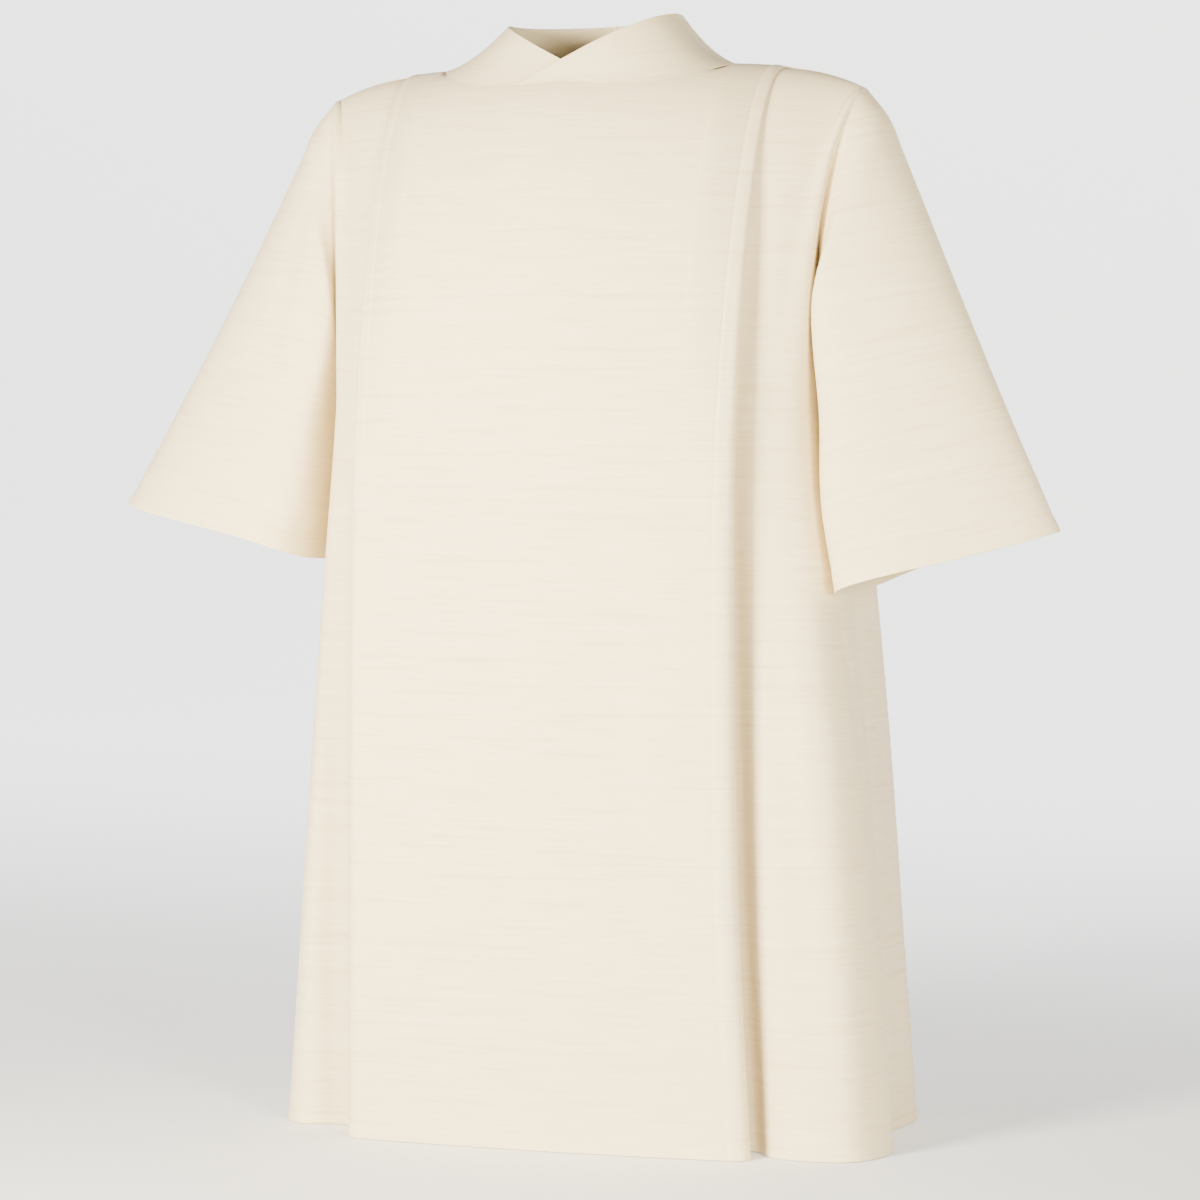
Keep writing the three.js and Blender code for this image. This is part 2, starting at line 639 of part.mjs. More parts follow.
export default group;
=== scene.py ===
import math

import bpy
import numpy as np
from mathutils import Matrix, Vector


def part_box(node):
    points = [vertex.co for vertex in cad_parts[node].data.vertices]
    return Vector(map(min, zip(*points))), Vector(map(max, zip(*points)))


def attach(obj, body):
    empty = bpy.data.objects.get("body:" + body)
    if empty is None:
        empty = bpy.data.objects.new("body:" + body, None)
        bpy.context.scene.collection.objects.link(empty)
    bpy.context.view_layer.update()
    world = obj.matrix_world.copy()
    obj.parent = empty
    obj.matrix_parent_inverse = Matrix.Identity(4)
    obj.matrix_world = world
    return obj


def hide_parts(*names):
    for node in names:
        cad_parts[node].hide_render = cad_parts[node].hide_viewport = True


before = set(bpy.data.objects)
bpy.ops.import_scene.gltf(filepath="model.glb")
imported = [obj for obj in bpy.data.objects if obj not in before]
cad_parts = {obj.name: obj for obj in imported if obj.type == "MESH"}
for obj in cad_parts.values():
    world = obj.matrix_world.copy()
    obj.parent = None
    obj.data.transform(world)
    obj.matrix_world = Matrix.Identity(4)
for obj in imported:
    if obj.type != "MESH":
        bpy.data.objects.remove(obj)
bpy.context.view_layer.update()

# ---- Floor, backdrop, light and camera ----
# A pale studio sweep: a level floor that the hem just touches, curving up into
# a wall well behind the garment. Two soft lights stand in front of it at chest
# height, one on either side of the camera.

HEM_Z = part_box("front")[0].z
SWEEP_HALF_WIDTH = 9.0
SWEEP_FRONT_Y = -7.0
SWEEP_BEND_Y = 4.5
SWEEP_BEND_RADIUS = 2.5
SWEEP_WALL_HEIGHT = 6.0
SWEEP_BEND_STEPS = 24
FLOOR_DROP = 0.0008
# The sweep's paint glows as painted light: faint on the floor near the garment, rising to bright on
# the wall behind.
SWEEP_GLOW_NEAR = 0.25
SWEEP_GLOW_FAR = 2.2
SWEEP_GLOW_START_Y = -0.6
SWEEP_GLOW_END_Y = 3.5
FLOOR_COLOUR = (0.86, 0.88, 0.905, 1)
FLOOR_ROUGHNESS = 0.9
FLOOR_SPECULAR = 0.1
GLOW_COLOUR = (1, 1, 1, 1)

floor_z = HEM_Z - FLOOR_DROP
sweep_line = [(SWEEP_FRONT_Y, floor_z)]
for step in range(SWEEP_BEND_STEPS + 1):
    turn = math.radians(90) * step / SWEEP_BEND_STEPS
    sweep_line.append((
        SWEEP_BEND_Y + SWEEP_BEND_RADIUS * math.sin(turn),
        floor_z + SWEEP_BEND_RADIUS * (1 - math.cos(turn)),
    ))
sweep_line.append((sweep_line[-1][0], floor_z + SWEEP_WALL_HEIGHT))
sweep_points = [(x, y, z) for y, z in sweep_line for x in (-SWEEP_HALF_WIDTH, SWEEP_HALF_WIDTH)]
sweep_faces = [(2 * i, 2 * i + 1, 2 * i + 3, 2 * i + 2) for i in range(len(sweep_line) - 1)]
sweep_mesh = bpy.data.meshes.new("studio_sweep")
sweep_mesh.from_pydata(sweep_points, [], sweep_faces)
sweep_mesh.shade_smooth()
sweep = bpy.data.objects.new("studio_sweep", sweep_mesh)
bpy.context.scene.collection.objects.link(sweep)
sweep_paint = bpy.data.materials.new("studio_sweep_paint")
sweep_paint.use_nodes = True
sweep_shader = sweep_paint.node_tree.nodes["Principled BSDF"]
sweep_shader.inputs["Base Color"].default_value = FLOOR_COLOUR
sweep_shader.inputs["Roughness"].default_value = FLOOR_ROUGHNESS
sweep_shader.inputs["Specular IOR Level"].default_value = FLOOR_SPECULAR
sweep_shader.inputs["Emission Color"].default_value = GLOW_COLOUR
sweep_nodes, sweep_links = sweep_paint.node_tree.nodes, sweep_paint.node_tree.links
sweep_place = sweep_nodes.new("ShaderNodeTexCoord")
sweep_axes = sweep_nodes.new("ShaderNodeSeparateXYZ")
sweep_glow = sweep_nodes.new("ShaderNodeMapRange")
sweep_glow.interpolation_type = "SMOOTHSTEP"
sweep_glow.inputs["From Min"].default_value = SWEEP_GLOW_START_Y
sweep_glow.inputs["From Max"].default_value = SWEEP_GLOW_END_Y
sweep_glow.inputs["To Min"].default_value = SWEEP_GLOW_NEAR
sweep_glow.inputs["To Max"].default_value = SWEEP_GLOW_FAR
sweep_links.new(sweep_place.outputs["Object"], sweep_axes.inputs["Vector"])
sweep_links.new(sweep_axes.outputs["Y"], sweep_glow.inputs["Value"])
sweep_links.new(sweep_glow.outputs["Result"], sweep_shader.inputs["Emission Strength"])
sweep_mesh.materials.append(sweep_paint)

WORLD_COLOUR = (0.97, 0.985, 1, 1)
WORLD_STRENGTH = 0.16
world = bpy.data.worlds.new("studio_air")
world.use_nodes = True
air = world.node_tree.nodes["Background"]
air.inputs["Color"].default_value = WORLD_COLOUR
air.inputs["Strength"].default_value = WORLD_STRENGTH
bpy.context.scene.world = world

GARMENT_MIDDLE = Vector((0, 0, -0.55))
LAMP_COLOUR = (1, 0.91, 0.74)


def soft_light(name, place, size, power):
    """A large square light that faces the middle of the garment."""
    lamp = bpy.data.lights.new(name, "AREA")
    lamp.shape = "SQUARE"
    lamp.size = size
    lamp.energy = power
    lamp.color = LAMP_COLOUR
    holder = bpy.data.objects.new(name, lamp)
    holder.location = place
    toward = GARMENT_MIDDLE - Vector(place)
    holder.rotation_euler = toward.to_track_quat("-Z", "Y").to_euler()
    bpy.context.scene.collection.objects.link(holder)


soft_light("front_light", place=(-0.92, -2.55, -0.2), size=0.85, power=312)
soft_light("left_light", place=(2.5, -3.0, -0.1), size=0.9, power=260)

# The camera stands a little to the wearer's left, level with the waist.
CAMERA_AZIMUTH = math.radians(19)
CAMERA_DISTANCE = 4.44
CAMERA_Z = -0.346
CAMERA_TILT = math.radians(2.72)
SENSOR_WIDTH = 36
LENS = 126.4

camera_data = bpy.data.cameras.new("camera")
camera_data.sensor_width = SENSOR_WIDTH
camera_data.lens = LENS
camera = bpy.data.objects.new("camera", camera_data)
camera.location = (
    CAMERA_DISTANCE * math.sin(CAMERA_AZIMUTH),
    -CAMERA_DISTANCE * math.cos(CAMERA_AZIMUTH),
    CAMERA_Z,
)
camera.rotation_euler = (math.radians(90) - CAMERA_TILT, 0, CAMERA_AZIMUTH)
bpy.context.scene.collection.objects.link(camera)
bpy.context.scene.camera = camera

# ---- Front ----
# One width of linen-look cloth. A knife pleat is folded under each edge of the
# centre panel, and the piece is sewn at the shoulders, neckline, armholes and
# side seams. Its bottom edge is turned up in a narrow stitched hem.

WALL = 0.0016
RIM_ANGLE = math.radians(50)
BODY_SEAM_GAP = 0.0002
NECK_HALF_WIDTH = 0.158
NECK_FRONT = 0.115
NECK_BACK = 0.088
NECK_SQUARENESS = 2.5
NECK_RISE_FRONT = 0.015
NECK_RISE_BACK = 0.012
SHOULDER_Y = -0.010
SHOULDER_TIP_X = 0.290
SHOULDER_DROP = 0.027
SHOULDER_SLOPE_DROP = 0.004
SHOULDER_CURVE = 2.6
SHOULDER_SHARE = 0.3
SIDE_TURN_EASE = 0.45
PANEL_ROUNDING_DROP = 0.500
SIDE_ROUNDING_DROP = 0.260
BACK_ROUNDING_DROP = 0.330
ROUNDED_ROWS = 44
HANGING_ROWS = 104
NECK_COLUMNS = 28
PANEL_EDGE_COLUMNS = 4
FOLD_EDGE_COLUMNS = 3
FOLD_STITCH_INSET = 0.009
STITCH_LINE_OFFSETS = (-0.0028, -0.0014, 0, 0.0014, 0.0028)
FOLD_TURN_STEPS = 7
TUCK_LAYER_SHARES = (0.33, 0.67)
SIDE_SHOULDER_COLUMNS = 20
ARMHOLE_COLUMNS = 44
# Stands in for a length of zero where a formula divides by it.
TINY = 1e-12

# The panel and its pleats by level. half: centre to fold, depth: fold in front
# of the neck, crown: how far the middle stands before the fold, mouth: panel to
# side front, tuck: pleat width.
PANEL_LEVELS = [
    dict(z=0, half=0.204, depth=0.176, crown=0.030, mouth=0.0044, tuck=0.030),
    dict(z=-0.120, half=0.204, depth=0.181, crown=0.030, mouth=0.016, tuck=0.040),
    dict(z=-0.305, half=0.204, depth=0.190, crown=0.025, mouth=0.028, tuck=0.050),
    dict(z=-0.543, half=0.205, depth=0.198, crown=0.020, mouth=0.038, tuck=0.054),
    dict(z=-0.851, half=0.209, depth=0.196, crown=0.014, mouth=0.044, tuck=0.056),
    dict(z=-1.110, half=0.217, depth=0.179, crown=0.010, mouth=0.042, tuck=0.056),
]

# Side fronts by level, from the pleat mouth round the side fold to the seam:
# brow (flat part), crest (before the fold), fold, hollow (behind it) and seam.
SIDE_LEVELS = {
    1: [
        dict(z=-0.350, brow=(0.232, -0.140), crest=(0.248, -0.124), fold=(0.255, -0.104),
             hollow=(0.260, -0.050), seam=(0.262, 0.005)),
        dict(z=-0.710, brow=(0.250, -0.160), crest=(0.290, -0.141), fold=(0.309, -0.092),
             hollow=(0.301, -0.032), seam=(0.285, 0.006)),
        dict(z=-1.110, brow=(0.262, -0.157), crest=(0.318, -0.148), fold=(0.342, -0.092),
             hollow=(0.324, -0.028), seam=(0.303, 0.008)),
    ],
    -1: [
        dict(z=-0.350, brow=(0.232, -0.138), crest=(0.248, -0.122), fold=(0.255, -0.102),
             hollow=(0.259, -0.050), seam=(0.262, 0.005)),
        dict(z=-0.710, brow=(0.244, -0.126), crest=(0.272, -0.121), fold=(0.289, -0.092),
             hollow=(0.291, -0.036), seam=(0.281, 0.006)),
        dict(z=-1.110, brow=(0.252, -0.108), crest=(0.294, -0.115), fold=(0.317, -0.094),
             hollow=(0.312, -0.030), seam=(0.298, 0.008)),
    ],
}

# How square the cloth turns from shoulder to chest and to shoulder blades.
TURN_SQUARENESS = [
    dict(x=0, front=3.0, back=3.2),
    dict(x=0.158, front=2.6, back=2.6),
    dict(x=0.204, front=2.05, back=2.4),
    dict(x=0.290, front=2.0, back=2.0),
]

# Left sleeve rings from armhole to cuff. outer: the fold along the top of the
# arm, inner: the underarm line, front and back: half depths, lap: how far the
# front leans in toward the body, soft and crisp: fullness at the two folds.
SLEEVE_RINGS = [
    dict(at=0, outer=(0.290, -0.010, -0.027), inner=(0.264, 0.005, -0.330),
         front=0.064, back=0.080, lap=0.018, soft=0.5, crisp=0.5),
    dict(at=0.05, outer=(0.313, -0.011, -0.054), inner=(0.268, 0.005, -0.340),
         front=0.086, back=0.087, lap=0.022, soft=0.46, crisp=0.58),
    dict(at=0.12, outer=(0.328, -0.012, -0.086), inner=(0.271, 0.004, -0.354),
         front=0.104, back=0.094, lap=0.031, soft=0.42, crisp=0.64),
    dict(at=0.42, outer=(0.391, -0.030, -0.224), inner=(0.272, -0.002, -0.410),
         front=0.110, back=0.098, lap=0.029, soft=0.36, crisp=0.66),
    dict(at=0.74, outer=(0.452, -0.052, -0.352), inner=(0.278, -0.018, -0.480),
         front=0.106, back=0.100, lap=0.040, soft=0.36, crisp=0.68),
    dict(at=1, outer=(0.510, -0.072, -0.468), inner=(0.288, -0.040, -0.542),
         front=0.098, back=0.098, lap=0.042, soft=0.38, crisp=0.70),
]


def mix(a, b, t):
    return a + (b - a) * t


def clamp(share):
    """A share kept between 0 and 1."""
    return np.clip(share, 0, 1)


def smooth(t):
    """Rises from 0 to 1, level at both ends."""
    return t * t * (3 - 2 * t)


def track(rows, key, column):
    """A smooth curve through one named column of a table, read at any level."""
    keys = np.array([row[key] for row in rows], float)
    values = np.array([row[column] for row in rows], float)
    if values.ndim == 1:
        values = values[:, None]
    last = len(keys) - 1
    slopes = [
        (values[min(i + 1, last)] - values[max(i - 1, 0)])
        / (keys[min(i + 1, last)] - keys[max(i - 1, 0)])
        for i in range(last + 1)
    ]
    rising = 1 if keys[-1] > keys[0] else -1

    def read(level):
        if rising * (level - keys[0]) <= 0:
            found = values[0]
        elif rising * (level - keys[-1]) >= 0:
            found = values[-1]
        else:
            i = next(n for n in range(last) if rising * (keys[n + 1] - level) > 0)
            span = keys[i + 1] - keys[i]
            t = (level - keys[i]) / span
            found = (
                mix(values[i], values[i + 1], smooth(t))
                + slopes[i] * span * t * (1 - t) ** 2
                + slopes[i + 1] * span * t * t * (t - 1)
            )
        return found if len(found) > 1 else float(found[0])

    return read


def tracks(rows, key):
    """Every column of a table as a curve over its key."""
    return {name: track(rows, key, name) for name in rows[0] if name != key}


panel = tracks(PANEL_LEVELS, "z")
side_form = {side: tracks(rows, "z") for side, rows in SIDE_LEVELS.items()}
sleeve_form = tracks(SLEEVE_RINGS, "at")
turn_squareness = tracks(TURN_SQUARENESS, "x")


def curve_point(places, share):
    """A place on a smooth open curve through places on one level."""
    places = [np.asarray(p, float) for p in places]
    spans = len(places) - 1
    i = min(int(share * spans), spans - 1)
    t = share * spans - i
    p1, p2 = places[i], places[i + 1]
    p0 = places[i - 1] if i > 0 else 2 * p1 - p2
    p3 = places[i + 2] if i + 2 <= spans else 2 * p2 - p1
    d0, d1, d2 = (
        max(float(np.linalg.norm(b - a)) ** 0.5, TINY) for a, b in ((p0, p1), (p1, p2), (p2, p3))
    )
    t1 = ((p1 - p0) / d0 - (p2 - p0) / (d0 + d1) + (p2 - p1) / d1) * d1
    t2 = ((p2 - p1) / d1 - (p3 - p1) / (d1 + d2) + (p3 - p2) / d2) * d1
    return p1 + t1 * t + (3 * (p2 - p1) - 2 * t1 - t2) * t**2 + (2 * (p1 - p2) + t1 + t2) * t**3


def shoulder_z(x, neck_rise):
    """Height of the shoulder line, and of its run across the neck."""
    share = (x - NECK_HALF_WIDTH) / (SHOULDER_TIP_X - NECK_HALF_WIDTH)
    if share < 0:
        return neck_rise * (1 - (x / NECK_HALF_WIDTH) ** 2)
    curve_drop = SHOULDER_DROP - SHOULDER_SLOPE_DROP
    return -SHOULDER_SLOPE_DROP * share - curve_drop * share**SHOULDER_CURVE


def drop_share(share, squareness):
    """How far the cloth has dropped when it has gone a share of its way out."""
    return 1 - max(0, 1 - share**squareness) ** (1 / squareness)


def neckline_point(degrees, shrink=0):
    """Neckline where collar and body meet; 0 is the front, 90 the wearer's left."""
    sine, cosine = math.sin(math.radians(degrees)), math.cos(math.radians(degrees))
    power = 2 / NECK_SQUARENESS
    to_front = cosine > 0
    x = (NECK_HALF_WIDTH - shrink) * math.copysign(abs(sine) ** power, sine)
    out = abs(x)
    reach = ((NECK_FRONT if to_front else NECK_BACK) - shrink) * abs(cosine) ** power
    top = PANEL_LEVELS[0]
    if to_front:
        chest = top["depth"] + top["crown"] * (1 - (out / top["half"]) ** 2) + SHOULDER_Y
        squareness, drop, rise = turn_squareness["front"](out), PANEL_ROUNDING_DROP, NECK_RISE_FRONT
    else:
        chest = BACK_LEVELS[0]["middle"][1] - SHOULDER_Y
        squareness, drop, rise = turn_squareness["back"](out), BACK_ROUNDING_DROP, NECK_RISE_BACK
    z = shoulder_z(out, rise) - drop * drop_share(reach / chest, squareness)
    return np.array([x, SHOULDER_Y - math.copysign(reach, cosine), z])


# The back, from its middle to the side seam, by level: middle, blade (flat
# part), crest and fold (the rounded corner) and hollow.
BACK_LEVELS = [
    dict(z=-0.350, middle=(0, 0.150), blade=(0.140, 0.148), crest=(0.225, 0.128),
         fold=(0.257, 0.086), hollow=(0.263, 0.044)),
    dict(z=-0.710, middle=(0, 0.168), blade=(0.150, 0.166), crest=(0.248, 0.146),
         fold=(0.289, 0.104), hollow=(0.291, 0.050)),
    dict(z=-1.110, middle=(0, 0.186), blade=(0.160, 0.184), crest=(0.266, 0.168),
         fold=(0.312, 0.128), hollow=(0.312, 0.060)),
]


def sleeve_point(at, angle, hang=(0, 0)):
    """A sleeve ring at a share of its length; 0 is the outer fold, 90 the front."""
    f = {name: read(at) for name, read in sleeve_form.items()}
    to_inner = (1 - math.cos(angle)) / 2
    fullest = f["soft"] / (f["soft"] + f["crisp"])
    peak = fullest ** f["soft"] * (1 - fullest) ** f["crisp"]
    width = to_inner ** f["crisp"] * max(0, 1 - to_inner) ** f["soft"] / peak
    front = math.sin(angle) > 0
    depth = -f["front"] if front else f["back"]
    lap = f["lap"] * width * math.sin(angle) ** 2 if front else 0
    outer = f["outer"] - np.array([0, 0, at * hang[0]])
    inner = f["inner"] - np.array([0, 0, at * hang[1]])
    return mix(outer, inner, to_inner) + np.array([-lap, depth * width, 0])


def hanging_column(top, section, drop, squareness=2, start_share=0, line_z=None):
    """One column of cloth, from its top round the turn and down to the hem."""
    line_z = top[2] if line_z is None else line_z
    start = math.asin(min(1, start_share ** (squareness / 2)))
    points = []
    for i in range(ROUNDED_ROWS + 1):
        angle = mix(start, math.pi / 2, i / ROUNDED_ROWS)
        share = 1 if i == ROUNDED_ROWS else math.sin(angle) ** (2 / squareness)
        out = (share - start_share) / (1 - start_share)
        z = top[2] if i == 0 else line_z - drop * drop_share(share, squareness)
        x, y = section(z)
        points.append((mix(top[0], x, out), mix(top[1], y, out), z))
    chest_z = line_z - drop
    for i in range(1, HANGING_ROWS + 1):
        z = mix(chest_z, HEM_Z, i / HANGING_ROWS)
        points.append((*section(z), z))
    return np.array(points)


def column_from_top(x, to_back, section, sink=0):
    """A column that starts on the neckline, or past it on the shoulder seam."""
    kind = "back" if to_back else "front"
    drop = BACK_ROUNDING_DROP if to_back else PANEL_ROUNDING_DROP
    squareness = turn_squareness[kind](x)
    if x >= NECK_HALF_WIDTH:
        seam_y = SHOULDER_Y + (BODY_SEAM_GAP if to_back else -BODY_SEAM_GAP) / 2
        return hanging_column((x, seam_y, shoulder_z(x, 0) - sink), section, drop, squareness)
    degrees = math.degrees(math.asin((x / NECK_HALF_WIDTH) ** (NECK_SQUARENESS / 2)))
    top = neckline_point(180 - degrees if to_back else degrees)
    start = (top[1] - SHOULDER_Y) / (section(0)[1] - SHOULDER_Y)
    line_z = shoulder_z(x, NECK_RISE_BACK if to_back else NECK_RISE_FRONT)
    return hanging_column(top, section, drop, squareness, start, line_z)


def pleated_point(z, place):
    """A place across the pleated panel: distance out, and depth of its layer."""
    step = panel["mouth"](z) / 2
    turn = step / 2
    half = panel["half"](z)
    x, layer = place(half - turn, half - panel["tuck"](z) + turn, turn)
    crown = panel["crown"](z) * max(0, 1 - (x / half) ** 2)
    return x, -panel["depth"](z) - crown + layer * step, layer


def pleat_places():
    """Places across one half of the panel and its pleat, from the middle out.

    Each takes the distances of the fold and of the inner turn, and the radius at
    which the cloth turns there. It gives a distance and a layer, from 0 to 2.
    """
    top_edge = PANEL_LEVELS[0]["half"] - PANEL_LEVELS[0]["mouth"] / 4
    distances = [neckline_point(90 * i / NECK_COLUMNS)[0] for i in range(NECK_COLUMNS + 1)]
    line = [top_edge - FOLD_STITCH_INSET + offset for offset in STITCH_LINE_OFFSETS]
    for i in range(1, PANEL_EDGE_COLUMNS + 1):
        distances.append(mix(NECK_HALF_WIDTH, line[0], i / (PANEL_EDGE_COLUMNS + 1)))
    distances += line
    for i in range(1, FOLD_EDGE_COLUMNS + 1):
        distances.append(mix(line[-1], top_edge, i / FOLD_EDGE_COLUMNS))
    places = [lambda fold, inner, radius, d=d: (fold * d / top_edge, 0) for d in distances]
    turns = [math.pi * i / FOLD_TURN_STEPS for i in range(FOLD_TURN_STEPS + 1)]
    for a in turns[1:]:
        places.append(lambda fold, inner, radius, a=a: (
            fold + radius * math.sin(a), (1 - math.cos(a)) / 2))
    for share in TUCK_LAYER_SHARES:
        places.append(lambda fold, inner, radius, s=share: (mix(fold, inner, s), 1))
    for a in turns:
        places.append(lambda fold, inner, radius, a=a: (
            inner - radius * math.sin(a), 1 + (1 - math.cos(a)) / 2))
    return places


def side_front_section(z, share, side):
    """A place across the side front at one level, from its pleat to the seam."""
    under = pleated_point(z, lambda fold, inner, radius: (inner, 2))[:2]
    mouth = pleated_point(z, lambda fold, inner, radius: (fold, 2))[:2]
    middle = [side_form[side][name](z) for name in ("brow", "crest", "fold", "hollow")]
    seam = side_form[side]["seam"](z) - np.array([0, BODY_SEAM_GAP / 2])
    return curve_point([under, mouth, *middle, seam], share)


def armhole_top(share, to_back):
    """A place on the armhole, from the shoulder tip round to the underarm."""
    way = 1 if to_back else -1
    return sleeve_point(0, -way * math.pi * share) + np.array([0, way * BODY_SEAM_GAP / 2, 0])


def side_top(share):
    """Where a side-front column starts: shoulder seam first, then armhole."""
    if share >= SHOULDER_SHARE:
        return armhole_top((share - SHOULDER_SHARE) / (1 - SHOULDER_SHARE), False)
    top = PANEL_LEVELS[0]
    out = share / SHOULDER_SHARE
    x = mix(top["half"] - top["tuck"] + top["mouth"] / 4, SHOULDER_TIP_X, out)
    sunk = top["mouth"] * (1 - out) ** 2
    return np.array([x, SHOULDER_Y - BODY_SEAM_GAP / 2, shoulder_z(x, 0) - sunk])


def front_half(side):
    """The columns of one half of the front, from the middle to its side seam."""
    columns = []
    for place in pleat_places():
        x, _, layer = pleated_point(0, place)
        sink = layer * PANEL_LEVELS[0]["mouth"] / 2
        columns.append(column_from_top(x, False, lambda z: pleated_point(z, place)[:2], sink))
    shares = [SHOULDER_SHARE * i / SIDE_SHOULDER_COLUMNS for i in range(1, SIDE_SHOULDER_COLUMNS)]
    shares += [mix(SHOULDER_SHARE, 1, i / ARMHOLE_COLUMNS) for i in range(ARMHOLE_COLUMNS + 1)]
    for share in shares:
        drop = mix(PANEL_ROUNDING_DROP, SIDE_ROUNDING_DROP, share)
        squareness = 2 - SIDE_TURN_EASE * math.sin(math.pi * share) ** 2
        columns.append(hanging_column(
            side_top(share), lambda z: side_front_section(z, share, side), drop, squareness,
        ))
    return [column * (side, 1, 1) for column in columns]


def cloth_places(grid, middle):
    """Where each point lies on the flat cloth: distance across and up from the hem."""
    across = np.linalg.norm(np.diff(grid, axis=1), axis=2)
    across = np.concatenate([np.zeros((len(grid), 1)), np.cumsum(across, axis=1)], axis=1)
    across -= across[:, middle][:, None]
    up = np.linalg.norm(np.diff(grid, axis=0), axis=2)[::-1]
    up = np.concatenate([np.zeros((1, grid.shape[1])), np.cumsum(up, axis=0)], axis=0)[::-1]
    return across, up


def cloth_normals(grid, closed):
    """Outward direction at every point of a grid of cloth."""
    if closed:
        across = np.roll(grid, -1, axis=1) - np.roll(grid, 1, axis=1)
    else:
        across = np.gradient(grid, axis=1)
    outward = np.cross(np.gradient(grid, axis=0), across)
    return outward / np.maximum(np.linalg.norm(outward, axis=2), TINY)[:, :, None]


# A crease fades to its ends by this power of its arch, and it is three quarters
# of its width at the start and half a width more at the end.
CREASE_FADE_POWER = 0.7
CREASE_START_WIDTH = 0.75
CREASE_WIDENING = 0.5


def troughs(across, up, marks):
    """Depth of soft creases, each fading to both ends of its line on the cloth."""
    depth = np.zeros_like(across)
    for mark in marks:
        start, end = np.array(mark["start"]), np.array(mark["end"])
        line = end - start
        length = np.linalg.norm(line)
        along = ((across - start[0]) * line[0] + (up - start[1]) * line[1]) / length**2
        beside = ((across - start[0]) * line[1] - (up - start[1]) * line[0]) / length
        arch = np.sin(np.pi * clamp(along))
        bow = mark.get("bow", 0) * arch
        wide = mark["width"] * (CREASE_START_WIDTH + CREASE_WIDENING * clamp(along))
        fade = arch**CREASE_FADE_POWER
        depth += mark["depth"] * fade * np.exp(-(((beside - bow) / wide) ** 2))
    return depth


def cloth_piece(name, grid, places, closed=False):
    """A thin shell of cloth through a grid of points, with its flat places as UVs."""
    rows, columns = grid.shape[:2]
    spans = columns if closed else columns - 1
    across, up = places
    if closed:
        across = np.column_stack([across, across[:, -1] + (across[:, -1] - across[:, -2])])
        up = np.column_stack([up, up[:, 0]])
    faces, uvs = [], []
    for r in range(rows - 1):
        for c in range(spans):
            corners = ((r, c), (r + 1, c), (r + 1, c + 1), (r, c + 1))
            faces.append([i * columns + j % columns for i, j in corners])
            uvs += [(across[corner], up[corner]) for corner in corners]
    mesh = bpy.data.meshes.new(name)
    mesh.from_pydata(grid.reshape(-1, 3).tolist(), [], faces)
    mesh.uv_layers.new(name="cloth").data.foreach_set("uv", np.array(uvs).ravel())
    mesh.shade_smooth()
    piece = bpy.data.objects.new(name, mesh)
    bpy.context.scene.collection.objects.link(piece)
    bpy.ops.object.select_all(action="DESELECT")
    piece.select_set(True)
    bpy.context.view_layer.objects.active = piece
    wall = piece.modifiers.new("cloth thickness", "SOLIDIFY")
    wall.thickness = WALL
    wall.offset = 0
    bpy.ops.object.modifier_apply(modifier=wall.name)
    mesh.set_sharp_from_angle(angle=RIM_ANGLE)
    return piece


front_right = front_half(-1)[::-1]
front_middle = len(front_right) - 1
front_grid = np.stack(front_right + front_half(1)[1:], axis=1)
front_places = cloth_places(front_grid, front_middle)

# Hem and creases of the front, in metres on the flat cloth.
HEM_WIDTH = 0.008
HEM_BULGE = 0.0007
HEM_SOFTNESS = 0.0024
STITCH_SINK = 0.0006
STITCH_LINE_WIDTH = 0.0014
FRONT_CREASES = [
    dict(start=(-0.10, 0.62), end=(-0.04, 0.08), width=0.016, depth=0.0022, bow=0.008),
    dict(start=(0.07, 0.70), end=(0.11, 0.16), width=0.020, depth=0.0020, bow=-0.006),
    dict(start=(-0.16, 0.90), end=(-0.05, 0.78), width=0.018, depth=0.0016, bow=0.004),
    dict(start=(0.15, 0.96), end=(0.06, 0.84), width=0.016, depth=0.0015, bow=-0.004),
    dict(start=(0.38, 0.66), end=(0.43, 0.05), width=0.017, depth=0.0030, bow=0.006),
    dict(start=(0.50, 0.60), end=(0.54, 0.10), width=0.015, depth=0.0026, bow=-0.005),
    dict(start=(-0.39, 0.64), end=(-0.42, 0.06), width=0.016, depth=0.0028, bow=-0.006),
    dict(start=(-0.50, 0.56), end=(-0.55, 0.12), width=0.018, depth=0.0024, bow=0.005),
]


def hem_form(up, width):
    """Doubled cloth below a hem's stitch line, and the line pulled in."""
    fold = HEM_BULGE / 2 * (1 - np.tanh((up - width) / HEM_SOFTNESS))
    return fold - STITCH_SINK * np.exp(-(((up - width) / STITCH_LINE_WIDTH) ** 2))


FOLD_STITCH_COLUMN = NECK_COLUMNS + PANEL_EDGE_COLUMNS + 1 + len(STITCH_LINE_OFFSETS) // 2
FOLD_BULGE = 0.0005
FOLD_BULGE_EDGE = 0.0012
FOLD_BULGE_SOFTNESS = 0.0012
# The side front's columns run over six spans, from its pleat to its seam, and
# the first of them ends at the pleat's mouth.
SIDE_FRONT_SPANS = 6
MOUTH_COLUMN = len(pleat_places()) - 1 + round(
    SIDE_SHOULDER_COLUMNS / SHOULDER_SHARE / SIDE_FRONT_SPANS)
# The hollow at each pleat's mouth: its depth by side, its width, how far above
# the hem it starts, and over how much of the cloth it comes to its full depth.
MOUTH_TROUGH = {1: 0.014, -1: 0.009}
MOUTH_TROUGH_WIDTH = 0.017
MOUTH_TROUGH_TOP = 1.12
MOUTH_TROUGH_RUN = 0.42
# Small tucks in the cloth where shoulder seam, neckline and collar meet.
NECK_TUCKS = [
    dict(start=(-0.158, -0.022, -0.002), end=(-0.142, -0.074, -0.010), width=0.0080, depth=0.0036),
    dict(start=(0.142, -0.074, -0.010), end=(0.159, -0.018, -0.002), width=0.0080, depth=0.0042),
]


